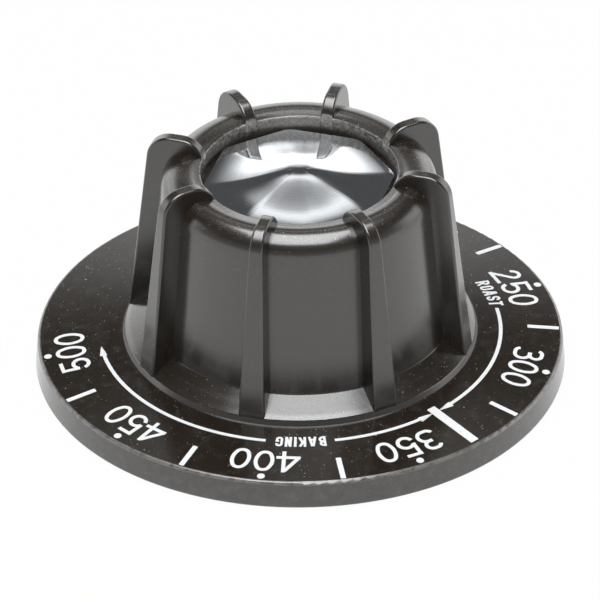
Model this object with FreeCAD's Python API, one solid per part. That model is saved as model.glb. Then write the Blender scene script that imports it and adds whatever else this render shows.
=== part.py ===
"""Oven control knob: a moulded body with eight grip ribs, a pressed metal insert and a shaft spring.

Millimetres, +Z up along the shaft axis. The origin is the centre of the back rim's plane,
which lies against the oven's panel.
"""
import FreeCAD
import Part
import math
import os
from FreeCAD import Vector

# Dial skirt
skirt_dia = 63.5
skirt_edge_h = 3.5
skirt_draft_deg = 4.6
skirt_wall = 2.3
face_rise = 1.06
edge_round = 0.35

# Base ring and sloped ledge between the dial face and the hub
ring_dia = 42.5
ring_step_h = 0.65
ring_step_in = 0.29
ledge_w = 2.7
ledge_rise = 1.92
ledge_round = 0.2

# Hub
hub_h = 27.4
hub_draft_deg = 5.8
hub_wall = 2.6
crown_round = 2.8
land_w = 1.3
land_deg = 13.0
lip_round = 0.25
recess_depth = 2.28
recess_draft_deg = 3.0
roof_t = 2.8

# Grip ribs
rib_count = 8
rib_phase_deg = 28.7
rib_top_w = 1.5
rib_flank_deg = 2.1
rib_rise = 1.65
rib_draft_deg = 6.1
rib_arch_round = 2.9
rib_inset = 0.15
rib_edge_round = 0.28
ridge_tolerance = 0.0001

# Boss, webs and D-shaped shaft socket
shaft_dia = 6.35
shaft_flat_depth = 0.79
shaft_fit = 0.05
socket_depth = 17.0
boss_dia = 13.0
boss_setback = 0.8
web_count = 4
web_t = 1.8
web_phase_deg = 45.0
web_setback = 8.0

# Centre insert
insert_t = 0.5
insert_fit = 0.1
insert_sides = 8
insert_phase_deg = 6.2
insert_crease = 0.4
insert_rim = 0.5
bell_h = 1.6
bell_spread = 4.0
bell_shares = (1, 0.82, 0.64, 0.48, 0.34, 0.22, 0.12, 0.04)

# Shaft spring
spring_t = 0.4
spring_w = 4.6
spring_fit = 0.05
spring_bow = 0.2
spring_len = 12.0
spring_leg = 4.5
slot_depth = 0.95

# Heights and radii that follow from the sizes above
axis = Vector(0, 0, 1)
origin = Vector(0, 0, 0)
skirt_r = skirt_dia / 2
edge_r = skirt_r - skirt_edge_h * math.tan(math.radians(skirt_draft_deg))
ring_r = ring_dia / 2
ring_z = skirt_edge_h + face_rise
step_r = ring_r - ring_step_in
step_z = ring_z + ring_step_h
foot_r = step_r - ledge_w
foot_z = step_z + ledge_rise
hub_slope = math.tan(math.radians(hub_draft_deg))
crown_z = hub_h - crown_round
crown_r = foot_r - (crown_z - foot_z) * hub_slope - crown_round / math.cos(math.radians(hub_draft_deg))
brow_r = crown_r - crown_round * math.sin(math.radians(land_deg))
brow_z = crown_z + crown_round * math.cos(math.radians(land_deg))
recess_r = brow_r - land_w
recess_z = brow_z - land_w * math.tan(math.radians(land_deg))
seat_z = recess_z - recess_depth
seat_r = recess_r - recess_depth * math.tan(math.radians(recess_draft_deg))
insert_half = math.pi / insert_sides
insert_bow = (1 - insert_crease) / math.cos(insert_half) + insert_crease
insert_apothem = (seat_r - insert_fit) / insert_bow
bell_foot = insert_apothem - insert_rim
roof_z = seat_z - roof_t
boss_r = boss_dia / 2
shaft_r = shaft_dia / 2
socket_r = shaft_r + shaft_fit
flat_x = socket_r - shaft_flat_depth
slot_x = flat_x + slot_depth
tab_z = boss_setback + spring_fit


def hub_radius(z):
    """Radius of the drafted hub wall at height z."""
    return foot_r - (z - foot_z) * hub_slope


def face_height(r):
    """Height of the conical dial face at radius r."""
    return skirt_edge_h + face_rise * (edge_r - r) / (edge_r - ring_r)


def point(x, z):
    """A point of a profile drawn in the XZ plane."""
    return Vector(x, 0, z)


def rounded(corners):
    """Edges through (x, z, radius) corners, each rounded by its own radius; the ends stay sharp."""
    edges = []
    start = point(*corners[0][:2])
    for before, corner, after in zip(corners, corners[1:], corners[2:]):
        here = point(*corner[:2])
        back = (point(*before[:2]) - here).normalize()
        ahead = (point(*after[:2]) - here).normalize()
        if corner[2] > 0:
            half = back.getAngle(ahead) / 2
            inner = here + back * (corner[2] / math.tan(half))
            outer = here + ahead * (corner[2] / math.tan(half))
            bisector = (back + ahead).normalize()
            middle = here + bisector * (corner[2] / math.sin(half) - corner[2])
            edges.append(Part.makeLine(start, inner))
            edges.append(Part.Arc(inner, middle, outer).toShape())
            start = outer
        else:
            edges.append(Part.makeLine(start, here))
            start = here
    edges.append(Part.makeLine(start, point(*corners[-1][:2])))
    return edges


def face_of(edges):
    """Flat face inside a chain of edges."""
    return Part.Face(Part.Wire(edges))


def revolved(edges):
    """Solid made by turning a profile about the shaft axis."""
    return face_of(edges).revolve(origin, axis, 360)


def slab(edges, width):
    """Profile in the XZ plane made into a slab of the given width about that plane."""
    return face_of(edges).translated(Vector(0, -width / 2, 0)).extrude(Vector(0, width, 0))


def turned(shape, angle):
    """Copy of a shape turned about the shaft axis."""
    copy = shape.copy()
    copy.rotate(origin, axis, angle)
    return copy


def outer_form():
    """Skirt, ring, ledge, hub wall, rounded crown, sloped land and top recess, turned as one profile."""
    tilt = math.radians(hub_draft_deg)
    shoulder = point(crown_r + crown_round * math.cos(tilt), crown_z + crown_round * math.sin(tilt))
    crest = point(crown_r, hub_h)
    brow = point(brow_r, brow_z)
    side = rounded([
        (0, 0, 0),
        (skirt_r, 0, edge_round),
        (edge_r, skirt_edge_h, edge_round),
        (ring_r, ring_z, 0),
        (step_r, step_z, ledge_round),
        (foot_r, foot_z, ledge_round),
        (shoulder.x, shoulder.z, 0),
    ])
    crown = Part.Arc(shoulder, crest, brow).toShape()
    recess = rounded([
        (brow_r, brow_z, 0),
        (recess_r, recess_z, lip_round),
        (seat_r, seat_z, 0),
        (0, seat_z, 0),
        (0, 0, 0),
    ])
    return revolved(side + [crown] + recess)


def hollow_form():
    """Space under the skirt and inside the hub."""
    lip_r = skirt_r - skirt_wall
    lip_z = face_height(lip_r) - skirt_wall
    lip_in = lip_z * math.tan(math.radians(skirt_draft_deg))
    ceiling_z = face_height(ring_r) - skirt_wall
    inner_foot_r = hub_radius(foot_z) - hub_wall
    inner_top_r = hub_radius(roof_z) - hub_wall
    return revolved(rounded([
        (0, 0, 0),
        (lip_r, 0, 0),
        (lip_r - lip_in, lip_z, edge_round),
        (ring_r, ceiling_z, 0),
        (inner_foot_r, ceiling_z, edge_round),
        (inner_top_r, roof_z, edge_round),
        (0, roof_z, 0),
        (0, 0, 0),
    ]))


def rib_form():
    """One grip rib on +X: a drafted fin whose top arches over the crown."""
    top_z = hub_h + rib_rise
    inner_r = recess_r - rib_inset
    slope = math.tan(math.radians(rib_draft_deg))
    base_z = ring_z + ring_step_h / 2
    root_z = seat_z - roof_t / 2
    outer_base_r = step_r + (step_z - base_z) * slope
    outer_top_r = step_r - (top_z - step_z) * slope
    arch_round = min(rib_arch_round, (outer_top_r - inner_r) / 2)
    exposed = rounded([
        (outer_base_r, base_z, 0),
        (outer_top_r, top_z, arch_round),
        (inner_r, top_z, arch_round),
        (inner_r, root_z, 0),
    ])
    buried = rounded([
        (inner_r, root_z, 0),
        (hub_radius(root_z) - hub_wall / 2, root_z, 0),
        (hub_radius(base_z) - hub_wall / 2, base_z, 0),
        (outer_base_r, base_z, 0),
    ])
    flank = math.tan(math.radians(rib_flank_deg))
    top_half = rib_top_w / 2
    base_half = top_half + (top_z - base_z) * flank
    section = Part.makePolygon([
        Vector(0, -base_half, base_z),
        Vector(0, base_half, base_z),
        Vector(0, top_half, top_z),
        Vector(0, -top_half, top_z),
        Vector(0, -base_half, base_z),
    ])
    wedge = Part.Face(section).extrude(Vector(skirt_r, 0, 0))
    fin = slab(exposed + buried, 2 * base_half).common(wedge)
    ridge = Part.Wire(exposed)
    rims = [edge for edge in fin.Edges if lies_on(edge, ridge)]
    return fin.makeFillet(rib_edge_round, rims)


def lies_on(edge, ridge):
    """True where an edge of the fin, seen along Y, runs along the exposed ridge line."""
    ends = [edge.valueAt(edge.FirstParameter), edge.valueAt(edge.LastParameter)]
    middle = edge.valueAt((edge.FirstParameter + edge.LastParameter) / 2)
    if abs(ends[0].y + ends[1].y) < rib_top_w / 2:
        return False
    flat = Part.Vertex(middle.x, 0, middle.z)
    return flat.distToShape(ridge)[0] < ridge_tolerance


def boss_form():
    """Boss for the shaft, with the webs that tie it to the hub wall."""
    boss = Part.makeCylinder(boss_r, roof_z - boss_setback, point(0, boss_setback))
    length = hub_radius(foot_z) - hub_wall / 2
    web = Part.makeBox(length, web_t, roof_z - web_setback, Vector(0, -web_t / 2, web_setback))
    reach = revolved(rounded([
        (0, web_setback, 0),
        (hub_radius(web_setback) - hub_wall / 2, web_setback, 0),
        (hub_radius(roof_z) - hub_wall / 2, roof_z, 0),
        (0, roof_z, 0),
        (0, web_setback, 0),
    ]))
    for k in range(web_count):
        boss = boss.fuse(turned(web, web_phase_deg + 360 / web_count * k).common(reach))
    return boss


def socket_form():
    """D-shaped hole for the shaft, with the slot and notch that hold the spring."""
    half = math.sqrt(socket_r ** 2 - flat_x ** 2)
    left = Vector(flat_x, half, boss_setback)
    right = Vector(flat_x, -half, boss_setback)
    chord = Part.makeLine(left, right)
    round_side = Part.Arc(right, Vector(-socket_r, 0, boss_setback), left).toShape()
    hole = face_of([chord, round_side]).extrude(axis * socket_depth)
    slot_w = spring_w + 2 * spring_fit
    slot_h = spring_len + spring_t + 2 * spring_fit
    slot = Part.makeBox(slot_x, slot_w, slot_h, Vector(0, -slot_w / 2, boss_setback))
    notch_h = spring_t + spring_fit
    notch = Part.makeBox(boss_r, slot_w, notch_h, Vector(flat_x, -slot_w / 2, boss_setback))
    return hole.fuse(slot).fuse(notch)


def knob_body():
    """The one-piece moulding."""
    body = outer_form().cut(hollow_form())
    step = 360 / rib_count
    rib = rib_form()
    ribs = [turned(rib, rib_phase_deg + step * k) for k in range(rib_count)]
    body = body.fuse([boss_form()] + ribs).removeSplitter()
    return body.cut(socket_form())


def insert_outline(apothem, height):
    """Eight-sided line with rounded corners, each flat at the given distance from the axis."""
    turn = 2 * insert_half
    first = math.radians(insert_phase_deg)
    bow_r = apothem * insert_crease
    bow_at = (apothem - bow_r) / math.cos(insert_half)
    ends = []
    middles = []
    for k in range(insert_sides):
        angle = first + turn * k
        middle = Vector(math.cos(angle), math.sin(angle), 0)
        bow = middle * bow_at + axis * height
        middles.append(bow + middle * bow_r)
        for side in (angle - insert_half, angle + insert_half):
            ends.append(bow + Vector(math.cos(side), math.sin(side), 0) * bow_r)
    edges = []
    for k in range(insert_sides):
        edges.append(Part.Arc(ends[2 * k], middles[k], ends[2 * k + 1]).toShape())
        edges.append(Part.makeLine(ends[2 * k + 1], ends[(2 * k + 2) % len(ends)]))
    return Part.Wire(edges)


def bell_height(apothem):
    """Height of the bell above its foot, steep near the top and easing off towards the foot."""
    foot = 1 / math.hypot(1, bell_foot / bell_spread)
    return bell_h * (1 / math.hypot(1, apothem / bell_spread) - foot) / (1 - foot)


def bell_form(height):
    """Faceted bell standing on the given height."""
    lines = []
    for share in bell_shares:
        apothem = bell_foot * share
        lines.append(insert_outline(apothem, height + bell_height(apothem)))
    return Part.makeLoft(lines, True)


def centre_insert():
    """Pressed eight-sided sheet with a faceted bell, lying on the floor of the recess."""
    plate = Part.Face(insert_outline(insert_apothem, seat_z)).extrude(axis * insert_t)
    return plate.fuse(bell_form(seat_z + insert_t)).cut(bell_form(seat_z))


def shaft_spring():
    """Folded strip: a leaf bowed into the socket, a tab under the boss and a leg outside it."""
    back_x = slot_x - spring_fit
    low_z = tab_z + spring_t
    high_z = low_z + spring_len - spring_t
    middle_z = (low_z + high_z) / 2
    bow_x = flat_x - spring_bow
    leg_x = boss_r + spring_fit
    back = Part.Arc(point(back_x, low_z), point(bow_x + spring_t, middle_z), point(back_x, high_z)).toShape()
    front = Part.Arc(
        point(back_x - spring_t, high_z),
        point(bow_x, middle_z),
        point(back_x - spring_t, low_z),
    ).toShape()
    tip = Part.makeLine(point(back_x, high_z), point(back_x - spring_t, high_z))
    fold = Part.makePolygon([
        point(back_x - spring_t, low_z),
        point(back_x - spring_t, tab_z),
        point(leg_x + spring_t, tab_z),
        point(leg_x + spring_t, tab_z + spring_leg),
        point(leg_x, tab_z + spring_leg),
        point(leg_x, low_z),
        point(back_x, low_z),
    ])
    return slab([back, tip, front] + fold.Edges, spring_w)


os.makedirs("parts", exist_ok=True)
pieces = {"knob_body": knob_body(), "centre_insert": centre_insert(), "shaft_spring": shaft_spring()}
for name, shape in pieces.items():
    solid = shape.Solids[0]
    print(name, "valid", shape.isValid(), "solids", len(shape.Solids), "volume", round(shape.Volume, 2))
    solid.exportStep("parts/" + name + ".step")
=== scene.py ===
"""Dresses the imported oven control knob: plastic, metal and printed dial, with its stage."""
from functools import partial
from math import atan, atan2, cos, degrees, exp, hypot, pi, radians, sin, tan

import bmesh
import bpy
from bpy.props import FloatProperty, FloatVectorProperty, IntProperty, PointerProperty
from mathutils import Matrix, Vector


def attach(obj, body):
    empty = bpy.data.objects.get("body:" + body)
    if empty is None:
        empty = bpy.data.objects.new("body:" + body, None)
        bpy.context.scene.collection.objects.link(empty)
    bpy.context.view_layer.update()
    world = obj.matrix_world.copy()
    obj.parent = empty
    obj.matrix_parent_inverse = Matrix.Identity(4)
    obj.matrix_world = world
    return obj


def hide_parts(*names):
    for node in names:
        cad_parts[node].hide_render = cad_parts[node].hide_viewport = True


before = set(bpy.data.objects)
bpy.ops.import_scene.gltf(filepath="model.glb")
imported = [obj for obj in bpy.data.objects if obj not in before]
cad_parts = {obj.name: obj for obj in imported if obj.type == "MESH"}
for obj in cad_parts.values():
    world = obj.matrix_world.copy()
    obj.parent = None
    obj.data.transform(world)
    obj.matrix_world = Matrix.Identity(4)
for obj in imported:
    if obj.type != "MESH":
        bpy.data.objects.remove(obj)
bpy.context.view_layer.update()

bl_info = {
    "name": "Oven Control Knob",
    "version": (1, 0, 0),
    "blender": (4, 5, 0),
    "location": "3D View > Sidebar > Knob",
    "description": "Finishes and prints an oven control knob on its packed frame",
    "category": "Object",
}

# One millimetre in scene units
MM = 0.001

# Kinds of values that a user may change
Length = partial(FloatProperty, subtype="DISTANCE")
Angle = partial(FloatProperty, subtype="ANGLE")
Share = partial(FloatProperty, subtype="FACTOR", min=0, max=1)
Colour = partial(FloatVectorProperty, size=3, subtype="COLOR", min=0, max=1)

# Points closer than this become one, on a piece and on a figure drawn in millimetres
MERGE, GLYPH_MERGE = 0.0004 * MM, 0.002

# Degrees per step of a bend in a figure and along a range line
BEND_STEP, LINE_STEP = 9, 1.5

# Zones of the moulding in millimetres: where a finish starts and where it is full
HANDLED_HEIGHT = (22.0, 25.5)
LEDGE_FOOT, LEDGE_TOP, LEDGE_REACH = (5.8, 6.2), (9.4, 8.8), (19.0, 19.6)
FOOT_HEIGHT, FOOT_REACH = (12.0, 8.7), (20.6, 20.2)
EDGE_HEIGHT, EDGE_REACH = (3.0, 3.3), (31.05, 31.3)
SIDE_HEIGHT = (3.2, 2.6)
DIAL_REACH = (21.0, 21.6)
RECESS_REACH = (11.98, 11.88)
LAND_OUTSIDE, LAND_INSIDE = (13.2, 12.0), (11.9, 11.98)
LIP_LOW, LIP_HIGH = (24.85, 25.3), (25.3, 26.8)
# Height over which the lint and painted highlight on the recess wall grow paler towards the top
LINT_AND_SHEEN_HEIGHT = (25.2, 26.9)

# How far a face looks up, or inwards on the recess wall, where a zone starts and is full
LEVEL_FACING, DIAL_FACING, LAND_FACING = (0.35, 0.95), (0.97, 0.985), (0.86, 0.95)
RECESS_FACING = (0.5, 0.8)

# How far normals lean on the land, low on the lip and high on it
LAND_LEAN, LOW_LEAN, HIGH_LEAN = 0.75, 0.6, 0.9

# Noise of the finishes: scale per millimetre, detail and roughness
SKIN, GRIT, SMEAR = (4.5, 3.0), (6.5, 4.0, 0.75), (0.5, 4.0, 0.6)
MOTTLE, INK_GRAIN, STREAKS = (1.4, 3.0), (9.0,), (1.5, 3.0)

# Patches on the finishes: a noise, and the limits between which it counts
DRIFT = (0.16, 3.0), (0.35, 0.7)
FILM = (0.6, 4.0, 0.65), (0.45, 0.8)
SCUFFS = (2.6, 5.0, 0.7), (0.45, 0.8)
# Lint patches on the recess wall, which also paint a highlight there
LINT_AND_SHEEN = (2.4, 4.0, 0.7), (0.3, 0.7)
# Rubbing on the rim edge: partly wear, partly a painted highlight line
RUBBING_AND_GLINT = (1.1, 3.0), (0.3, 0.6, 0.35, 1.0)
SCRAPES = (0.9, 5.0, 0.7), (0.4, 0.75)
STAINS = (0.9, 4.0), (0.5, 0.75)

# Grains: cells per millimetre, share of the cells that hold one, and largest size
COARSE_DUST, FINE_DUST = (1.5, 0.3, 0.13), (3.4, 0.5, 0.2)
METAL_DUST, PINHOLES = (2.2, 0.16, 0.2), (3.5, 0.05, 0.3)

# What the gloss mirrors: height of the look and brightness there
FAR_WALL = [
    (0.0, 1.5), (0.38, 1.5), (0.42, 1.1), (0.46, 0.55), (0.5, 0.11), (0.53, 0.07), (0.65, 0.07),
    (0.72, 0.1), (0.8, 0.2), (0.866, 0.28), (0.92, 0.25)]
FAR_PANEL = [(0.64, 0.0), (0.695, 0.7), (0.725, 0.9), (0.75, 0.9), (0.8, 0.3), (0.866, 0.0)]
NEAR_WALL = [(0.0, 0.42), (0.3, 0.32), (0.42, 0.13), (0.9, 0.11)]

# Where the far wall takes over from the near one, and where the panel fades aside
FAR_SIDE, PANEL_ASIDE = (-0.12, 0.12), (0.3, 0.14)

# Plain light of the room, and white
ROOM_LIGHT, WHITE = (0.26, 0.26, 0.26, 1), (1, 1, 1, 1)


class Signal:
    """A shader socket that takes part in plain arithmetic."""

    def __init__(self, tree, socket):
        self.tree = tree
        self.socket = socket

    def __add__(self, other):
        return self.tree.math("ADD", self, other)

    def __sub__(self, other):
        return self.tree.math("SUBTRACT", self, other)

    def __rsub__(self, other):
        return self.tree.math("SUBTRACT", other, self)

    def __mul__(self, other):
        return self.tree.math("MULTIPLY", self, other)

    def __truediv__(self, other):
        return self.tree.math("DIVIDE", self, other)

    def __pow__(self, other):
        return self.tree.math("POWER", self, other)

    def __gt__(self, other):
        return self.tree.math("GREATER_THAN", self, other)

    def __lt__(self, other):
        return self.tree.math("LESS_THAN", self, other)

    __radd__ = __add__
    __rmul__ = __mul__


class Finish:
    """A node tree that is written as expressions."""

    def __init__(self, tree):
        self.tree = tree
        tree.nodes.clear()

    def node(self, kind, settings=None, inputs=None, output=0):
        made = self.tree.nodes.new(kind)
        for key, value in (settings or {}).items():
            if key == "stops":
                self.stops(made.color_ramp, value)
            else:
                setattr(made, key, value)
        for key, value in (inputs or {}).items():
            if isinstance(value, Signal):
                self.tree.links.new(value.socket, made.inputs[key])
            else:
                made.inputs[key].default_value = value
        return Signal(self, made.outputs[output]) if made.outputs else None

    def stops(self, ramp, stops):
        while len(ramp.elements) < len(stops):
            ramp.elements.new(1.0)
        for element, (place, level) in zip(ramp.elements, stops):
            element.position = place
            element.color = (level, level, level, 1.0)

    def ramp(self, value, stops):
        return self.node("ShaderNodeValToRGB", {"stops": stops}, {"Fac": value})

    def between(self, value, low, high, start=0.0, end=1.0):
        return self.node("ShaderNodeMapRange", {"interpolation_type": "SMOOTHSTEP"}, {
            "Value": value, "From Min": low, "From Max": high, "To Min": start, "To Max": end})

    def mix(self, factor, first, second):
        return self.node("ShaderNodeMix", {"data_type": "RGBA"}, {0: factor, 6: first, 7: second}, 2)

    def split(self, vector, axis):
        return self.node("ShaderNodeSeparateXYZ", None, {"Vector": vector}, axis)

    def millimetres(self):
        place = self.node("ShaderNodeTexCoord", output="Object")
        return self.node("ShaderNodeVectorMath", {"operation": "SCALE"}, {0: place, "Scale": 1 / MM})

    def math(self, operation, *values):
        return self.node("ShaderNodeMath", {"operation": operation}, dict(enumerate(values)))

    def vector(self, operation, *values, output=0):
        settings = {"operation": operation}
        return self.node("ShaderNodeVectorMath", settings, dict(enumerate(values)), output)

    def radius(self, place):
        return self.vector("LENGTH", self.vector("MULTIPLY", place, (1, 1, 0)), output="Value")

    def noise(self, vector, scale, detail=2.0, roughness=0.5):
        return self.node("ShaderNodeTexNoise", None, {
            "Vector": vector, "Scale": scale, "Detail": detail, "Roughness": roughness})

    def patches(self, vector, noise, limits):
        return self.between(self.noise(vector, *noise), *limits)

    def lean(self, normal, direction, amount):
        return self.vector("NORMALIZE", self.vector("MULTIPLY_ADD", direction, amount, normal))

    def along(self, first, second):
        return self.vector("DOT_PRODUCT", first, second, output="Value")

    def bump(self, height, strength, distance, normal=None):
        inputs = {"Height": height, "Strength": strength, "Distance": distance}
        if normal:
            inputs["Normal"] = normal
        return self.node("ShaderNodeBump", None, inputs)


def finish_named(name):
    """An empty material and the tree that fills it."""
    material = bpy.data.materials.new(name)
    material.use_nodes = True
    return material, Finish(material.node_tree)


def surface(finish, inputs):
    """Closes a tree with a principled surface."""
    shader = finish.node("ShaderNodeBsdfPrincipled", None, inputs)
    finish.node("ShaderNodeOutputMaterial", None, {"Surface": shader})


def specks(finish, place, scale, share, size):
    """Round grains of dust: a share of the cells holds one, each of its own size."""
    near = finish.node("ShaderNodeTexVoronoi", None, {"Vector": place, "Scale": scale}, "Distance")
    lot = finish.node("ShaderNodeTexVoronoi", None, {"Vector": place, "Scale": scale}, "Color")
    chance = finish.split(lot, 0)
    reach = finish.split(lot, 1) ** 2.0 * size
    return (near < reach) * (chance < share)


class KnobFinishes(bpy.types.PropertyGroup):
    """Colours and gloss of the knob's three materials and its ink."""

    plastic_colour: Colour(
        name="Plastic", description="Colour of the moulding", default=(0.0175, 0.0130, 0.0090))
    plastic_gloss: Share(
        name="Plastic roughness", description="Roughness of the clean moulding", default=0.15)
    # Colour of the dust, also used for the painted highlights on the recess wall and the rim edge
    dust_colour: Colour(name="Dust", description="Colour of the dust grains", default=(0.58, 0.56, 0.53))
    metal_colour: Colour(
        name="Insert", description="Colour of the bright centre insert", default=(0.89, 0.92, 0.955))
    metal_gloss: Share(name="Insert roughness", description="Roughness of the clean insert", default=0.05)
    steel_colour: Colour(
        name="Spring", description="Colour of the shaft spring", default=(0.52, 0.51, 0.49))
    ink_colour: Colour(name="Ink", description="Colour of the printed dial", default=(0.92, 0.935, 0.93))


class KnobInsert(bpy.types.PropertyGroup):
    """Sizes of the pressed centre insert."""

    sides: IntProperty(name="Sides", description="Flat sides of the blank", default=8, min=3)
    flat: Length(name="Flat", description="From the axis to a flat side of the blank", default=10.62 * MM)
    corner: Length(
        name="Corner", description="Length that rounds off each side of a corner", default=0.75 * MM)
    turn: Angle(name="Turn", description="Angle of the first corner", default=radians(6.2))
    seat: Length(name="Seat", description="Height of the recess floor", default=24.75 * MM)
    edge: Length(
        name="Edge", description="Thickness of the pressing, as its edge shows in the recess",
        default=0.78 * MM)
    rim: Length(name="Rim", description="Width of the flat rim", default=0.5 * MM)
    rise: Length(name="Rise", description="Height of the bell above the rim", default=1.66 * MM)
    spread: Length(
        name="Spread", description="Distance from the axis at which the bell is steepest",
        default=4.2 * MM)
    rings: IntProperty(
        name="Rings", description="Rings from the rim to the top of the bell", default=16, min=4)
    rounding: Share(
        name="Rounding", description="How round the rings become towards the top", default=0.6)


class KnobDial(bpy.types.PropertyGroup):
    """Sizes of the printed dial."""

    edge_radius: Length(
        name="Dial edge", description="Radius of the dial face at its edge", default=31.468 * MM)
    edge_height: Length(
        name="Edge height", description="Height of the dial face at its edge", default=3.5 * MM)
    slope: Angle(name="Slope", description="Slope of the dial face", default=atan(1.06 / 10.218))
    ink: Length(name="Ink", description="Height of the print above the face", default=0.03 * MM)
    step: Angle(
        name="Step", description="Angle between neighbouring marks of the scale", default=radians(18.15))
    rest_place: Angle(
        name="Bar", description="Place of the long bar on the dial", default=radians(-48.25))
    low_gap: Angle(
        name="Low gap", description="Angle from the long bar to the mark for 325", default=radians(13.75))
    high_gap: Angle(
        name="High gap", description="Angle from the long bar to the mark for 350", default=radians(14.4))
    dot_place: Length(name="Dot circle", description="Radius of the circle of dots", default=30.5 * MM)
    dot_radius: Length(name="Dot", description="Radius of a dot", default=0.46 * MM)
    tick_width: Length(name="Tick", description="Width of a tick", default=0.64 * MM)
    tick_inner: Length(name="Tick inside", description="Radius at a tick's inner end", default=27.25 * MM)
    tick_outer: Length(
        name="Tick outside", description="Radius at a tick's outer end", default=31.06 * MM)
    bar_width: Length(name="Bar width", description="Width of the long bar", default=1.18 * MM)
    bar_inner: Length(
        name="Bar inside", description="Radius at the long bar's inner end", default=23.07 * MM)
    bar_outer: Length(
        name="Bar outside", description="Radius at the long bar's outer end", default=30.87 * MM)
    line_place: Length(name="Range line", description="Radius of the range lines", default=24.03 * MM)
    line_width: Length(name="Line width", description="Width of the range lines", default=0.44 * MM)
    low_tip: Angle(name="Low tip", description="Angle of the first arrow's tip", default=radians(-171.7))
    low_end: Angle(
        name="Low end", description="Angle at which the low line ends", default=radians(-100.0))
    mid_start: Angle(
        name="Middle start", description="Angle at which the middle line starts", default=radians(-80.45))
    high_end: Angle(
        name="High end", description="Angle at which the high line ends", default=radians(10.4))
    baking_place: Angle(name="Baking", description="Angle of the first word", default=radians(-90.05))
    roast_place: Angle(name="Roast", description="Angle of the second word", default=radians(18.4))
    roast_lift: Length(
        name="Roast lift", description="How far out the second word stands", default=0.12 * MM)
    head_length: Length(name="Arrow", description="Length of an arrowhead", default=1.93 * MM)
    head_width: Length(name="Arrow width", description="Width of an arrowhead", default=0.9 * MM)
    figure_foot: Length(
        name="Number foot", description="Radius at the foot of the numbers", default=25.82 * MM)
    figure_middle: Length(
        name="Number middle", description="From the foot of the numbers to their middle",
        default=1.9 * MM)
    figure_shift: Length(
        name="Number shift", description="How far the numbers stand beside their dots", default=0.06 * MM)
    figure_pitch: Length(
        name="Number pitch", description="Distance between the figures of a number", default=2.83 * MM)
    figure_stroke: Length(name="Number stroke", description="Stroke of the figures", default=0.47 * MM)
    word_foot: Length(name="Word foot", description="Radius at the foot of the words", default=23.16 * MM)
    word_gap: Length(name="Word gap", description="Gap between the letters of a word", default=0.17 * MM)
    word_stroke: Length(name="Word stroke", description="Stroke of the letters", default=0.31 * MM)


class KnobStage(bpy.types.PropertyGroup):
    """The floor, the light and the camera."""

    aim_height: Length(
        name="Aim", description="Height of the point that the camera circles", default=3.5 * MM)
    elevation: Angle(name="Elevation", description="Camera's angle above the floor", default=0.585856)
    distance: Length(name="Distance", description="Camera's distance", default=1.2587)
    rise: Length(name="Rise", description="How far the view is lifted", default=4.174 * MM)
    roll: Angle(name="Roll", description="Camera's roll", default=radians(-0.412))
    lens: FloatProperty(name="Lens", description="Focal length in millimetres", default=629.9)
    floor_radius: Length(name="Floor", description="Radius of the floor", default=1.6)
    floor_gap: Length(
        name="Floor gap", description="Hair's breadth between the floor and the skirt's rim",
        default=0.02 * MM)
    box_height: Length(name="Softbox height", description="Height of the softbox", default=0.6)
    box_width: Length(name="Softbox width", description="Width of the softbox", default=0.48)
    box_depth: Length(name="Softbox depth", description="Depth of the softbox", default=0.6)
    box_place: Length(
        name="Softbox place", description="How far behind the knob the softbox hangs", default=-0.1)
    box_power: FloatProperty(
        name="Softbox power", description="Power of the softbox", default=3.9, subtype="POWER")
    sheen: FloatProperty(
        name="Sheen", description="Brightness of the softbox in reflections", default=6.5, min=0)
    box_colour: Colour(
        name="Softbox colour", description="Colour of the softbox", default=(0.965, 0.98, 1.0))


def clear_selection():
    """Leaves edit mode and selects nothing."""
    if bpy.context.object and bpy.context.object.mode != "OBJECT":
        bpy.ops.object.mode_set(mode="OBJECT")
    bpy.ops.object.select_all(action="DESELECT")


def start_piece(name, add, **settings):
    """Adds a primitive under a name and opens it in edit mode, all selected."""
    clear_selection()
    add(**settings)
    piece = bpy.context.object
    piece.name = name
    piece.data.name = name
    bpy.ops.object.mode_set(mode="EDIT")
    bpy.ops.mesh.select_all(action="SELECT")
    return piece


def select_points(test):
    """Selects the points of the open mesh that pass a test."""
    mesh = bpy.context.edit_object.data
    bpy.ops.mesh.select_mode(type="VERT")
    points = bmesh.from_edit_mesh(mesh)
    for point in points.verts:
        point.select_set(test(point.co))
    points.select_flush(True)
    points.select_flush(False)
    bmesh.update_edit_mesh(mesh)


def close_piece():
    """Merges doubles, turns the faces outwards and leaves edit mode."""
    bpy.ops.mesh.select_all(action="SELECT")
    bpy.ops.mesh.remove_doubles(threshold=MERGE)
    bpy.ops.mesh.normals_make_consistent(inside=False)
    bpy.ops.object.mode_set(mode="OBJECT")


def thicken(piece, depth):
    """Gives a flat print its thickness."""
    shell = piece.modifiers.new("ink", "SOLIDIFY")
    shell.thickness = depth
    shell.offset = 0.0
    bpy.ops.object.modifier_apply(modifier=shell.name)


def finish_print(piece, depth):
    """Gives an open flat print its thickness and closes it."""
    bpy.ops.object.mode_set(mode="OBJECT")
    thicken(piece, depth)
    bpy.ops.object.mode_set(mode="EDIT")
    close_piece()
    return piece


def weld():
    """Makes one skin of strokes that cross."""
    bpy.ops.object.mode_set(mode="EDIT")
    bpy.ops.mesh.select_all(action="SELECT")
    bpy.ops.mesh.normals_make_consistent(inside=False)
    bpy.ops.mesh.intersect_boolean(operation="UNION", use_self=True, solver="EXACT")
    close_piece()


def twin(piece, name, matrix):
    """A copy with its own mesh, at a place of its own."""
    copy = bpy.data.objects.new(name, piece.data.copy())
    copy.data.name = name
    bpy.context.collection.objects.link(copy)
    copy.data.transform(matrix)
    return copy


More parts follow.
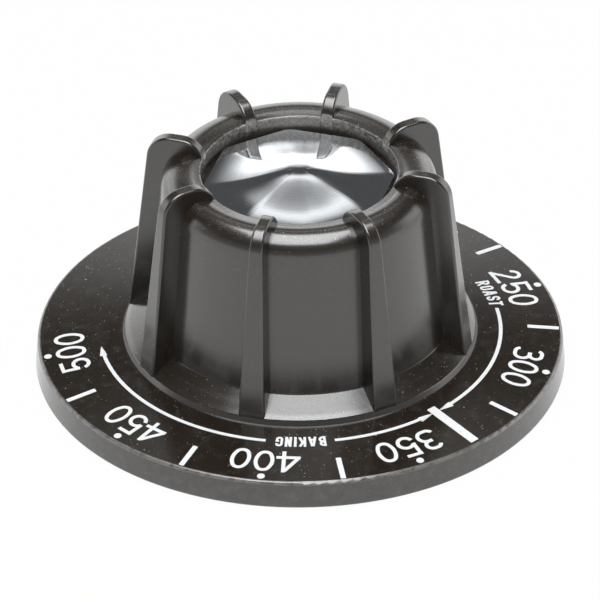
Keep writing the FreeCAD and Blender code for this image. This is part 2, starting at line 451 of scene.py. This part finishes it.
def join_pieces(name, parts):
    """One object from several."""
    clear_selection()
    for part in parts:
        part.select_set(True)
    bpy.context.view_layer.objects.active = parts[0]
    if len(parts) > 1:
        bpy.ops.object.join()
    parts[0].name = name
    parts[0].data.name = name
    return parts[0]


def drop(piece):
    """Removes a pattern that was only copied from."""
    bpy.data.objects.remove(piece, do_unlink=True)


def on_dial(dial, angle, radius):
    """The place on the dial face: X to the reader's right, Y outwards, Z off the face."""
    lean = dial.slope
    out = Vector((cos(angle), sin(angle), 0))
    right = Vector((sin(angle), -cos(angle), 0))
    up = out * cos(lean) + Vector((0, 0, -sin(lean)))
    off = out * sin(lean) + Vector((0, 0, cos(lean)))
    spot = out * radius
    spot.z = dial.edge_height + (dial.edge_radius - radius) * tan(lean)
    matrix = Matrix((right, up, off)).transposed().to_4x4()
    matrix.translation = spot
    return matrix


def scale_angle(dial, degree):
    """Where a temperature stands on the dial."""
    if degree < 340:
        return dial.rest_place + dial.low_gap + (325 - degree) / 25 * dial.step
    return dial.rest_place - dial.high_gap - (degree - 350) / 25 * dial.step


class Pen:
    """Draws flat strokes of one width by extruding and spinning their front edge."""

    def __init__(self, width):
        self.width = width
        self.place = Vector((0, 0, 0))
        self.heading = 0.0

    def front(self):
        return Vector((cos(self.heading), sin(self.heading), 0))

    def side(self):
        return Vector((-sin(self.heading), cos(self.heading), 0))

    def start(self, x, y, heading):
        """Sets the pen down: a square of which only the front edge is kept."""
        self.place = Vector((x, y, 0))
        self.heading = radians(heading)
        back = self.place - self.front() * self.width / 2
        bpy.ops.mesh.primitive_plane_add(size=self.width, location=back, rotation=(0, 0, self.heading))
        mesh = bpy.context.edit_object.data
        points = bmesh.from_edit_mesh(mesh)
        for point in points.verts:
            behind = (point.co - self.place).dot(self.front()) < -self.width / 2
            point.select_set(point.select and behind)
        points.select_flush(False)
        bmesh.update_edit_mesh(mesh)
        bpy.ops.mesh.delete(type="VERT")
        self.pick_front()

    def pick_front(self):
        """Selects the edge that the pen stands on, the newest of those there."""
        mesh = bpy.context.edit_object.data
        points = bmesh.from_edit_mesh(mesh)
        points.edges.ensure_lookup_table()
        bpy.ops.mesh.select_all(action="DESELECT")
        reach = self.width / 100
        ends = [self.place + self.side() * self.width / 2, self.place - self.side() * self.width / 2]
        for edge in reversed(points.edges):
            first, second = (point.co for point in edge.verts)
            if ((first - ends[0]).length < reach and (second - ends[1]).length < reach) or (
                    (first - ends[1]).length < reach and (second - ends[0]).length < reach):
                edge.select_set(True)
                break
        else:
            raise RuntimeError("the pen lost its edge")
        bmesh.update_edit_mesh(mesh)

    def run(self, length):
        """Draws a straight length."""
        step = self.front() * length
        bpy.ops.mesh.extrude_region_move(TRANSFORM_OT_translate={"value": step})
        self.place += step

    def bend(self, radius, turn):
        """Draws an arc, to the left for a positive turn."""
        hand = 1 if turn > 0 else -1
        centre = self.place + self.side() * hand * radius
        bpy.ops.mesh.spin(
            steps=max(3, round(abs(turn) / BEND_STEP)), angle=radians(abs(turn)),
            center=centre, axis=(0, 0, -hand))
        arm = Matrix.Rotation(radians(turn), 4, "Z") @ (self.place - centre)
        self.place = centre + arm
        self.heading += radians(turn)

    def draw(self, strokes):
        for (x, y, heading), steps in strokes:
            self.start(x, y, heading)
            for step in steps:
                if len(step) == 1:
                    self.run(*step)
                else:
                    self.bend(*step)


def straight(x0, y0, x1, y1):
    """A stroke between two points."""
    return (x0, y0, degrees(atan2(y1 - y0, x1 - x0))), [(hypot(x1 - x0, y1 - y0),)]


def oval(half_width, half_height, end_radius):
    """A closed stroke of four arcs that flow into each other."""
    rise = half_height - end_radius
    flank = (half_width ** 2 + rise ** 2 - end_radius ** 2) / (2 * (half_width - end_radius))
    lean = degrees(atan2(rise, flank - half_width))
    return [(flank, lean), (end_radius, 180 - 2 * lean), (flank, 2 * lean),
            (end_radius, 180 - 2 * lean), (flank, lean)]


# Figures in millimetres: each stroke has a start, a heading, then runs (length) and bends (radius, turn)
FIGURES = {
    "0": [((0.98, 1.9, 90), oval(0.98, 1.61, 0.76))],
    "2": [((-0.725, 2.72, 90), [(0.06,), (0.735, -220), (2.46,)]),
          straight(-1.36, 0.29, 1.36, 0.29)],
    "3": [((-0.86, 3.06, 75), [(0.62, -75), (0.4,), (0.715, -180), (0.5,)]),
          ((-0.36, 2.06, 0), [(0.51,), (0.885, -180), (0.45,), (0.72, -72)])],
    "4": [straight(0.5, 3.8, 0.5, 0), straight(-1.46, 1.1, 1.4, 1.1), straight(0.35, 3.55, -1.24, 1.14)],
    "5": [straight(-1.07, 3.51, 0.93, 3.51), straight(-0.79, 3.6, -0.82, 1.5),
          ((-0.75, 1.64, 60), [(0.92, -313)])],
}

# Letters in millimetres, each with its width
LETTERS = {
    "A": (1.06, [straight(-0.36, 0, -0.05, 1.72), straight(0.36, 0, 0.05, 1.72),
                 straight(-0.25, 0.52, 0.25, 0.52)]),
    "B": (0.93, [straight(-0.28, 0, -0.28, 1.78), ((-0.28, 1.6, 0), [(0.15,), (0.33, -180), (0.15,)]),
                 ((-0.3, 0.9, 0), [(0.2,), (0.365, -180), (0.2,)])]),
    "G": (0.93, [((0.28, 1.26, 90), [(0.06,), (0.28, 180), (0.84,), (0.28, 180), (0.3,)]),
                 straight(0.03, 0.8, 0.46, 0.8)]),
    "I": (0.42, [straight(0, 0, 0, 1.78)]),
    "K": (0.95, [straight(-0.27, 0, -0.27, 1.78), straight(-0.2, 0.68, 0.33, 1.72),
                 straight(-0.04, 1.05, 0.36, 0.06)]),
    "N": (0.88, [straight(-0.25, 0, -0.25, 1.78), straight(0.25, 0, 0.25, 1.78),
                 straight(-0.25, 1.68, 0.25, 0.1)]),
    "O": (0.95, [((0.29, 0.47, 90), [(0.84,), (0.29, 180), (0.84,), (0.29, 180)])]),
    "R": (1.0, [straight(-0.3, 0, -0.3, 1.78), ((-0.3, 1.6, 0), [(0.22,), (0.36, -180), (0.22,)]),
                straight(-0.06, 0.92, 0.34, 0.04)]),
    "S": (0.98, [((0.29, 1.2, 90), [(0.11,), (0.29, 180), (0.08,), (0.34, 75), (0.08,), (0.34, -75),
                                    (0.08,), (0.29, -180), (0.11,)])]),
    "T": (0.98, [straight(0, 0, 0, 1.6), straight(-0.46, 1.6, 0.46, 1.6)]),
}


def drawn_glyph(name, strokes, stroke, ink):
    """A figure or letter in the reader's plane, in scene units."""
    glyph = start_piece(name, bpy.ops.mesh.primitive_plane_add, size=1)
    bpy.ops.mesh.delete(type="VERT")
    Pen(stroke / MM).draw(strokes)
    bpy.ops.mesh.select_all(action="SELECT")
    bpy.ops.mesh.remove_doubles(threshold=GLYPH_MERGE)
    bpy.ops.object.mode_set(mode="OBJECT")
    thicken(glyph, 2 * ink / MM)
    weld()
    glyph.data.transform(Matrix.Scale(MM, 4))
    return glyph


class KnobPiece:
    """What the operators share."""

    bl_options = {"REGISTER", "UNDO"}

    @property
    def dial(self):
        return bpy.context.scene.knob_dial

    @property
    def finishes(self):
        return bpy.context.scene.knob_finishes

    def dress(self, node, material):
        """Gives a solid of the frame its finish."""
        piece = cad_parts[node]
        if not piece.material_slots:
            raise RuntimeError(node + " has no material slot")
        for slot in piece.material_slots:
            slot.material = material

    def settle(self, piece, material):
        """Finishes a new piece and lets it ride on the knob."""
        piece.data.materials.clear()
        piece.data.materials.append(material)
        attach(piece, "root")

    def ink(self):
        """The white print: slightly mottled, thin in places, with pinholes."""
        known = bpy.data.materials.get("dial_ink")
        if known:
            return known
        material, tree = finish_named("dial_ink")
        place = tree.millimetres()
        mottle = tree.noise(place, *MOTTLE)
        white, grey, dark = (*self.finishes.ink_colour, 1), (0.55, 0.55, 0.53, 1), (0.12, 0.12, 0.11, 1)
        thin = tree.mix(tree.between(mottle, 0.35, 0.75) * 0.12, white, grey)
        colour = tree.mix(specks(tree, place, *PINHOLES) * 0.7, thin, dark)
        surface(tree, {
            "Base Color": colour, "Roughness": 0.42 + mottle * 0.2,
            "Normal": tree.bump(tree.noise(place, *INK_GRAIN), 0.25, 0.02 * MM)})
        return material


class OBJECT_OT_knob_body(KnobPiece, bpy.types.Operator):
    """Finishes the moulded body in glossy black plastic with dust, fine scuffs and painted highlights on
    the recess wall and the rim edge
    """

    bl_idname = "object.knob_body"
    bl_label = "Moulded body"

    def lip(self, tree, place, facing, reach):
        """The lip of the recess: normals that roll it round, and pale patches on its wall that are lint and
        a painted highlight.
        """
        height = tree.split(place, 2)
        inward = tree.vector("NORMALIZE", tree.vector("MULTIPLY", place, (-1, -1, 0)))
        wall = tree.between(reach, *RECESS_REACH)
        wall = wall * tree.between(tree.along(facing, inward), *RECESS_FACING)
        land = tree.between(reach, *LAND_OUTSIDE) * tree.between(reach, *LAND_INSIDE)
        land = land * tree.between(tree.split(facing, 2), *LAND_FACING)
        roll = tree.between(height, *LIP_LOW) * LOW_LEAN + tree.between(height, *LIP_HIGH) * HIGH_LEAN
        rolled = tree.lean(tree.lean(facing, inward, land * LAND_LEAN), (0, 0, 1), wall * roll)
        # Pale patches high on the wall: lint, and a painted highlight for the light that the wall mirrors
        return rolled, wall * tree.between(height, *LINT_AND_SHEEN_HEIGHT) * tree.patches(place, *LINT_AND_SHEEN)

    def execute(self, context):
        material, tree = finish_named("moulded_plastic")
        place = tree.millimetres()
        reach, height = tree.radius(place), tree.split(place, 2)
        facing = tree.node("ShaderNodeNewGeometry", output="Normal")
        upward = tree.split(facing, 2)
        rolled, lint_and_sheen = self.lip(tree, place, facing, reach)
        # Zones
        level = tree.between(upward, *LEVEL_FACING)
        handled = tree.between(height, *HANDLED_HEIGHT)
        ledge = tree.between(height, *LEDGE_FOOT) * tree.between(height, *LEDGE_TOP)
        ledge = ledge * tree.between(reach, *LEDGE_REACH)
        edge = tree.between(reach, *EDGE_REACH) * tree.between(height, *EDGE_HEIGHT)
        dial_face = tree.between(reach, *DIAL_REACH) * tree.between(upward, *DIAL_FACING)
        foot = tree.between(height, *FOOT_HEIGHT) * tree.between(reach, *FOOT_REACH)
        # Traces of use, with a painted highlight along the rim edge
        grains = specks(tree, place, *COARSE_DUST) + specks(tree, place, *FINE_DUST)
        settled = grains * (0.12 + level * 0.88) * (0.25 + tree.patches(place, *DRIFT) * 0.75)
        film = tree.patches(place, *FILM) * level
        # Pale rubbing along the skirt's top edge: wear, and a painted highlight standing in for the rim's
        # glint
        rubbed_and_glint = edge * tree.patches(place, *RUBBING_AND_GLINT)
        scraped = tree.between(height, *SIDE_HEIGHT) * tree.patches(place, *SCRAPES)
        grit = tree.noise(place, *GRIT)
        # Dust colours the plastic by the share of each trace; through the lint and the rim rubbing the same
        # pale colour also paints highlights
        dust = (*self.finishes.dust_colour, 1)
        covered = tree.node("ShaderNodeClamp", None, {"Value": settled})
        colour = (*self.finishes.plastic_colour, 1)
        for share in (film * 0.03, covered, rubbed_and_glint * 0.3, lint_and_sheen * 0.4, scraped * 0.07):
            colour = tree.mix(share, colour, dust)
        # Roughness that the zones and the traces add
        satin = (1.0 - level) * 0.08 + handled * 0.1 + ledge * 0.1 + edge * 0.3
        marks = tree.patches(place, *SCUFFS) * 0.06 + film * 0.05 + settled * 0.35 + lint_and_sheen * 0.3
        # Relief of the skin, and where the top coat is dull
        skin = tree.noise(place, *SKIN) * (0.6 + handled * 0.6)
        skin = skin + settled * 0.6 + grit * (0.2 + ledge * 0.8)
        dull = tree.between(grit, 0.45, 0.75) * (0.4 - ledge * 0.25) + foot * 0.3
        surface(tree, {
            "Base Color": colour, "Roughness": self.finishes.plastic_gloss + satin + marks,
            "IOR": 1.55, "Specular IOR Level": 0.36, "Coat Weight": 0.88 - dial_face * 0.75 - dull,
            "Coat Roughness": 0.2, "Coat IOR": 1.8,
            "Normal": tree.bump(skin, 0.3, 0.02 * MM, rolled)})
        self.dress("knob_body", material)
        return {"FINISHED"}


class OBJECT_OT_knob_insert(KnobPiece, bpy.types.Operator):
    """Presses the centre insert from an eight-sided blank, in bright metal with spun lines"""

    bl_idname = "object.knob_insert"
    bl_label = "Centre insert"

    def bell(self, insert, reach):
        """How far the bell stands above the rim at a distance from the axis."""
        foot = exp(-((insert.flat - insert.rim) / insert.spread) ** 2 / 2)
        return insert.rise * (exp(-(reach / insert.spread) ** 2 / 2) - foot) / (1 - foot)

    def ring(self, wide, height, step, level, rounding):
        """Draws the open edge in to the next ring, lifts it and rounds it."""
        bpy.ops.mesh.extrude_region_move(TRANSFORM_OT_translate={"value": (0, 0, level - height)})
        bpy.ops.transform.resize(value=(step / wide, step / wide, 1), center_override=(0, 0, level))
        bpy.ops.transform.tosphere(value=rounding, center_override=(0, 0, level))

    def pressing(self, insert):
        """An eight-sided rim whose rings rise and round into the bell."""
        top = insert.seat + insert.edge
        piece = start_piece(
            "insert_pressing", bpy.ops.mesh.primitive_circle_add, vertices=insert.sides,
            radius=insert.flat / cos(pi / insert.sides), fill_type="NGON", location=(0, 0, top),
            rotation=(0, 0, insert.turn))
        bpy.ops.object.mode_set(mode="OBJECT")
        bpy.ops.object.transform_apply(location=True, rotation=True, scale=True)
        bpy.ops.object.mode_set(mode="EDIT")
        bpy.ops.mesh.select_all(action="SELECT")
        bpy.ops.mesh.bevel(offset=insert.corner, segments=3, affect="VERTICES")
        bpy.ops.mesh.select_all(action="SELECT")
        bpy.ops.mesh.delete(type="ONLY_FACE")
        bpy.ops.mesh.select_all(action="SELECT")
        bpy.ops.mesh.subdivide(number_cuts=2)
        foot = insert.flat - insert.rim
        self.ring(insert.flat, top, foot, top, 0.0)
        wide, height = foot, top
        for count in range(1, insert.rings):
            step = foot * (1 - count / insert.rings)
            level = top + self.bell(insert, step)
            self.ring(wide, height, step, level, insert.rounding * count / insert.rings)
            wide, height = step, level
        bpy.ops.mesh.merge(type="CENTER")
        close_piece()
        skin = piece.modifiers.new("skin", "SUBSURF")
        skin.levels = skin.render_levels = 2
        bpy.ops.object.modifier_apply(modifier=skin.name)
        wall = piece.modifiers.new("wall", "SOLIDIFY")
        wall.thickness = insert.edge
        wall.offset = -1.0
        bpy.ops.object.modifier_apply(modifier=wall.name)
        bpy.ops.object.shade_smooth_by_angle(angle=radians(35))
        return piece

    def execute(self, context):
        material, tree = finish_named("spun_metal")
        place = tree.millimetres()
        reach = tree.radius(place)
        spun = tree.node("ShaderNodeTexNoise", {"noise_dimensions": "1D"}, {
            "W": reach, "Scale": 5.5, "Detail": 4.0, "Roughness": 0.7})
        smear = tree.noise(place, *SMEAR)
        grains = specks(tree, place, *METAL_DUST)
        bright, stain = (*self.finishes.metal_colour, 1), (0.6, 0.59, 0.57, 1)
        groove, grime = (0.5, 0.51, 0.53, 1), (0.25, 0.24, 0.23, 1)
        tarnished = tree.mix(tree.between(smear, 0.45, 0.8) * 0.22, bright, stain)
        lined = tree.mix(tree.between(spun, 0.4, 0.7) * 0.18, tarnished, groove)
        colour = tree.mix(grains * 0.6, lined, grime)
        gloss = self.finishes.metal_gloss + spun * 0.03 + tree.between(smear, 0.5, 0.8) * 0.05
        surface(tree, {
            "Base Color": colour, "Roughness": gloss + grains * 0.2, "Metallic": 1.0,
            "Normal": tree.bump(spun, 0.05, 0.04 * MM)})
        self.dress("centre_insert", material)
        piece = self.pressing(context.scene.knob_insert)
        self.settle(piece, material)
        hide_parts("centre_insert")
        return {"FINISHED"}


class OBJECT_OT_knob_spring(KnobPiece, bpy.types.Operator):
    """Finishes the shaft spring in rolled steel with lengthwise streaks"""

    bl_idname = "object.knob_spring"
    bl_label = "Shaft spring"

    def execute(self, context):
        material, tree = finish_named("rolled_steel")
        place = tree.millimetres()
        drawn = tree.node("ShaderNodeMapping", None, {"Vector": place, "Scale": (6, 6, 0.3)})
        streaks = tree.noise(drawn, *STREAKS)
        stains = tree.patches(place, *STAINS)
        steel, brown, bright = (*self.finishes.steel_colour, 1), (0.3, 0.26, 0.21, 1), (0.7, 0.69, 0.67, 1)
        surface(tree, {
            "Base Color": tree.mix(streaks * 0.3, tree.mix(stains * 0.45, steel, brown), bright),
            "Roughness": 0.24 + streaks * 0.18 + stains * 0.15, "Metallic": 1.0,
            "Normal": tree.bump(streaks, 0.2, 0.02 * MM)})
        self.dress("shaft_spring", material)
        return {"FINISHED"}


class OBJECT_OT_knob_scale(KnobPiece, bpy.types.Operator):
    """Prints the dots, the ticks and the long bar of the temperature scale"""

    bl_idname = "object.knob_scale"
    bl_label = "Dial scale"

    def dot(self):
        """A round dot with a softened edge."""
        dial = self.dial
        piece = start_piece("dot", bpy.ops.mesh.primitive_circle_add,
                            vertices=28, radius=dial.dot_radius, fill_type="NGON")
        bpy.ops.mesh.inset(thickness=dial.dot_radius * 0.16, depth=dial.ink * 0.25)
        return finish_print(piece, 2 * dial.ink)

    def tick(self, name, width, inner, outer):
        """A straight mark with rounded corners, its middle at the origin."""
        piece = start_piece(name, bpy.ops.mesh.primitive_plane_add, size=1)
        bpy.ops.transform.resize(value=(width, outer - inner, 1))
        bpy.ops.mesh.bevel(offset=0.12 * MM, segments=4, affect="VERTICES")
        return finish_print(piece, 2 * self.dial.ink)

    def execute(self, context):
        dial = self.dial
        dot = self.dot()
        spots = [scale_angle(dial, degree) for degree in range(200, 501, 50)]
        dots = [twin(dot, "dot_copy", on_dial(dial, spot, dial.dot_place)) for spot in spots]
        self.settle(join_pieces("dial_dots", dots), self.ink())
        drop(dot)
        tick = self.tick("tick", dial.tick_width, dial.tick_inner, dial.tick_outer)
        middle = (dial.tick_inner + dial.tick_outer) / 2
        spots = [scale_angle(dial, degree) for degree in range(225, 476, 50)]
        ticks = [twin(tick, "tick_copy", on_dial(dial, spot, middle)) for spot in spots]
        self.settle(join_pieces("dial_ticks", ticks), self.ink())
        drop(tick)
        bar = self.tick("dial_bar", dial.bar_width, dial.bar_inner, dial.bar_outer)
        bar.data.transform(on_dial(dial, dial.rest_place, (dial.bar_inner + dial.bar_outer) / 2))
        self.settle(bar, self.ink())
        return {"FINISHED"}


class OBJECT_OT_knob_ranges(KnobPiece, bpy.types.Operator):
    """Prints the curved range lines and their arrowheads"""

    bl_idname = "object.knob_ranges"
    bl_label = "Range lines"

    def line(self, name, start, end):
        """A line along the dial from one angle to another, spun from its cross-section."""
        dial = self.dial
        piece = start_piece(name, bpy.ops.mesh.primitive_plane_add, size=1)
        bpy.ops.transform.resize(value=(dial.line_width, 2 * dial.ink, 1))
        bpy.ops.object.mode_set(mode="OBJECT")
        stand = Matrix(((0, 0, -1), (1, 0, 0), (0, 1, 0))).to_4x4()
        piece.data.transform(on_dial(dial, start, dial.line_place) @ stand)
        bpy.ops.object.mode_set(mode="EDIT")
        bpy.ops.mesh.select_all(action="SELECT")
        turn = end - start
        bpy.ops.mesh.spin(steps=max(4, round(abs(degrees(turn)) / LINE_STEP)), angle=abs(turn),
                          center=(0, 0, 0), axis=(0, 0, -1 if turn > 0 else 1))
        close_piece()
        self.settle(piece, self.ink())

    def head(self):
        """An arrowhead that points to the reader's left, its tip at the origin."""
        dial = self.dial
        piece = start_piece("head", bpy.ops.mesh.primitive_plane_add, size=1)
        bpy.ops.transform.resize(value=(dial.head_length, dial.head_width, 1))
        bpy.ops.transform.translate(value=(dial.head_length / 2, 0, 0))
        select_points(lambda place: place.x < dial.head_length / 2)
        bpy.ops.transform.resize(value=(1, 0.12, 1), center_override=(0, 0, 0))
        bpy.ops.mesh.select_all(action="SELECT")
        bpy.ops.mesh.bevel(offset=0.1 * MM, segments=3, affect="VERTICES")
        return finish_print(piece, 2.2 * dial.ink)

    def execute(self, context):
        dial = self.dial
        aside = dial.bar_width / 2 / dial.line_place
        before, after = dial.rest_place - aside, dial.rest_place + aside
        # Each line starts a little inside its arrowhead
        inside = dial.head_length / dial.line_place * 0.9
        self.line("range_line_low", dial.low_tip + inside, dial.low_end)
        self.line("range_line_mid", dial.mid_start, before - inside)
        self.line("range_line_high", after + inside, dial.high_end)
        head = self.head()
        turned = Matrix.Rotation(pi, 4, "Z")
        heads = [
            twin(head, "head_copy", on_dial(dial, dial.low_tip, dial.line_place) @ turned),
            twin(head, "head_copy", on_dial(dial, before, dial.line_place)),
            twin(head, "head_copy", on_dial(dial, after, dial.line_place) @ turned)]
        drop(head)
        self.settle(join_pieces("range_arrows", heads), self.ink())
        return {"FINISHED"}


class OBJECT_OT_knob_numbers(KnobPiece, bpy.types.Operator):
    """Prints the numbers of the scale, each figure standing along the dial"""

    bl_idname = "object.knob_numbers"
    bl_label = "Dial numbers"

    def execute(self, context):
        dial = self.dial
        glyphs = {key: drawn_glyph("figure_" + key, strokes, dial.figure_stroke, dial.ink)
                  for key, strokes in FIGURES.items()}
        middle = dial.figure_foot + dial.figure_middle
        for degree in range(200, 501, 50):
            parts = []
            for place, key in enumerate(str(degree)):
                aside = (place - 1) * dial.figure_pitch + dial.figure_shift
                angle = scale_angle(dial, degree) - aside / middle
                parts.append(twin(glyphs[key], "figure_copy", on_dial(dial, angle, dial.figure_foot)))
            self.settle(join_pieces("number_%d" % degree, parts), self.ink())
        for glyph in glyphs.values():
            drop(glyph)
        return {"FINISHED"}


class OBJECT_OT_knob_words(KnobPiece, bpy.types.Operator):
    """Prints the plain words on the range lines"""

    bl_idname = "object.knob_words"
    bl_label = "Dial words"

    def word(self, text, centre, foot, glyphs):
        """A word along the dial, its middle at an angle."""
        dial = self.dial
        widths = [LETTERS[letter][0] * MM for letter in text]
        pen = -(sum(widths) + dial.word_gap * (len(text) - 1)) / 2
        parts = []
        for letter, width in zip(text, widths):
            angle = centre - (pen + width / 2) / dial.line_place
            parts.append(twin(glyphs[letter], "letter_copy", on_dial(dial, angle, foot)))
            pen += width + dial.word_gap
        self.settle(join_pieces("word_" + text.lower(), parts), self.ink())

    def execute(self, context):
        dial = self.dial
        glyphs = {key: drawn_glyph("letter_" + key, strokes, dial.word_stroke, dial.ink)
                  for key, (width, strokes) in LETTERS.items()}
        self.word("BAKING", dial.baking_place, dial.word_foot, glyphs)
        self.word("ROAST", dial.roast_place, dial.word_foot + dial.roast_lift, glyphs)
        for glyph in glyphs.values():
            drop(glyph)
        return {"FINISHED"}


class OBJECT_OT_knob_stage(KnobPiece, bpy.types.Operator):
    """Sets the floor, the softbox, the surroundings and the camera"""

    bl_idname = "object.knob_stage"
    bl_label = "Stage"

    def floor(self, stage):
        """Pale paper that looks white, yet keeps a soft shadow."""
        floor = start_piece("floor", bpy.ops.mesh.primitive_circle_add,
                            vertices=64, radius=stage.floor_radius, fill_type="NGON",
                            location=(0, 0, -stage.floor_gap))
        bpy.ops.object.mode_set(mode="OBJECT")
        material, tree = finish_named("floor_paper")
        camera = tree.node("ShaderNodeLightPath", output="Is Camera Ray")
        mirrored = tree.node("ShaderNodeLightPath", output="Is Glossy Ray")
        seen = tree.math("MAXIMUM", camera, mirrored)
        paper = tree.node("ShaderNodeBsdfDiffuse", None, {"Color": (0.85, 0.85, 0.85, 1)})
        glow = tree.node("ShaderNodeEmission", None, {"Color": WHITE, "Strength": 1.0})
        blend = tree.node("ShaderNodeMixShader", None, {0: seen * 0.96, 1: paper, 2: glow})
        tree.node("ShaderNodeOutputMaterial", None, {"Surface": blend})
        floor.data.materials.append(material)

    def softbox(self, stage):
        """The lamp, which lights the knob and is mirrored from the surroundings instead."""
        lamp = bpy.data.lights.new("softbox", "AREA")
        lamp.shape = "RECTANGLE"
        lamp.size = stage.box_width
        lamp.size_y = stage.box_depth
        lamp.energy = stage.box_power
        lamp.color = stage.box_colour
        holder = bpy.data.objects.new("softbox", lamp)
        holder.location = (0, stage.box_place, stage.box_height)
        holder.visible_camera = False
        holder.visible_glossy = False
        bpy.context.collection.objects.link(holder)

    def mirrored_box(self, stage, tree, look):
        """The part of the surroundings in which the softbox is mirrored."""
        soft = 0.04
        wide = stage.box_width / 2 / stage.box_height
        near = (stage.box_place - stage.box_depth / 2) / stage.box_height
        far = (stage.box_place + stage.box_depth / 2) / stage.box_height
        height = tree.split(look, 2)
        across = tree.math("ABSOLUTE", tree.split(look, 0) / height)
        ahead = tree.split(look, 1) / height
        inside = tree.between(ahead, near - soft, near + soft) * tree.between(ahead, far + soft, far - soft)
        return inside * tree.between(across, wide + soft, wide - soft) * (height > 0.3)

    def surroundings(self, stage):
        """White for the camera, plain for light, and a studio with its softbox for the gloss."""
        world = bpy.data.worlds.new("studio")
        bpy.context.scene.world = world
        world.use_nodes = True
        tree = Finish(world.node_tree)
        look = tree.node("ShaderNodeTexCoord", output="Generated")
        height = tree.split(look, 2)
        centre = tree.between(tree.math("ABSOLUTE", tree.split(look, 0)), *PANEL_ASIDE)
        wall = tree.ramp(height, FAR_WALL)
        lit = tree.node("ShaderNodeMix", {"data_type": "RGBA", "blend_type": "ADD"}, {
            0: 1.0, 6: wall, 7: tree.ramp(height, FAR_PANEL)}, 2)
        far = tree.between(tree.split(look, 1), *FAR_SIDE)
        studio = tree.mix(far, tree.ramp(height, NEAR_WALL), tree.mix(centre, wall, lit))
        glare = (*(stage.sheen * part for part in stage.box_colour), 1)
        room = tree.mix(self.mirrored_box(stage, tree, look), studio, glare)
        open_below = tree.mix(height < 0.0, room, WHITE)
        camera = tree.node("ShaderNodeLightPath", output="Is Camera Ray")
        mirrored = tree.node("ShaderNodeLightPath", output="Is Glossy Ray")
        colour = tree.mix(camera, tree.mix(mirrored, ROOM_LIGHT, open_below), WHITE)
        light = tree.node("ShaderNodeBackground", None, {"Color": colour, "Strength": 1.0})
        tree.node("ShaderNodeOutputWorld", None, {"Surface": light})

    def camera(self, stage):
        """A long lens at the photograph's angle."""
        lens = bpy.data.cameras.new("camera")
        lens.lens = stage.lens
        lens.sensor_width = 36.0
        lens.clip_start = 0.05
        lens.clip_end = 20.0
        holder = bpy.data.objects.new("camera", lens)
        bpy.context.collection.objects.link(holder)
        tilt = stage.elevation
        centre = Vector((0, 0, stage.aim_height))
        holder.location = centre + stage.distance * Vector((0, -cos(tilt), sin(tilt)))
        aim = centre + stage.rise * Vector((0, sin(tilt), cos(tilt)))
        turn = (aim - holder.location).to_track_quat("-Z", "Y").to_matrix()
        holder.rotation_euler = (turn @ Matrix.Rotation(stage.roll, 3, "Z")).to_euler()
        bpy.context.scene.camera = holder

    def execute(self, context):
        stage = context.scene.knob_stage
        self.floor(stage)
        self.softbox(stage)
        self.surroundings(stage)
        self.camera(stage)
        context.scene.view_settings.view_transform = "Standard"
        return {"FINISHED"}


class VIEW3D_PT_knob(bpy.types.Panel):
    """Lists the knob's pieces and sizes"""

    bl_idname = "VIEW3D_PT_knob"
    bl_label = "Oven Control Knob"
    bl_space_type = "VIEW_3D"
    bl_region_type = "UI"
    bl_category = "Knob"

    def draw(self, context):
        for operator in OPERATORS:
            self.layout.operator(operator.bl_idname)
        for name, kind in GROUPS.items():
            box = self.layout.box()
            for size in kind.__annotations__:
                box.prop(getattr(context.scene, name), size)


OPERATORS = (
    OBJECT_OT_knob_body, OBJECT_OT_knob_insert, OBJECT_OT_knob_spring, OBJECT_OT_knob_scale,
    OBJECT_OT_knob_ranges, OBJECT_OT_knob_numbers, OBJECT_OT_knob_words, OBJECT_OT_knob_stage)
GROUPS = {
    "knob_finishes": KnobFinishes, "knob_insert": KnobInsert,
    "knob_dial": KnobDial, "knob_stage": KnobStage}
CLASSES = (*GROUPS.values(), *OPERATORS, VIEW3D_PT_knob)


def register():
    for kind in CLASSES:
        bpy.utils.register_class(kind)
    for name, kind in GROUPS.items():
        setattr(bpy.types.Scene, name, PointerProperty(type=kind))


def unregister():
    for name in GROUPS:
        delattr(bpy.types.Scene, name)
    for kind in reversed(CLASSES):
        bpy.utils.unregister_class(kind)


def main():
    """Builds the pieces in order."""
    register()
    bpy.ops.object.knob_body()
    bpy.ops.object.knob_insert()
    bpy.ops.object.knob_spring()
    bpy.ops.object.knob_scale()
    bpy.ops.object.knob_ranges()
    bpy.ops.object.knob_numbers()
    bpy.ops.object.knob_words()
    bpy.ops.object.knob_stage()


if __name__ == "__main__":
    main()
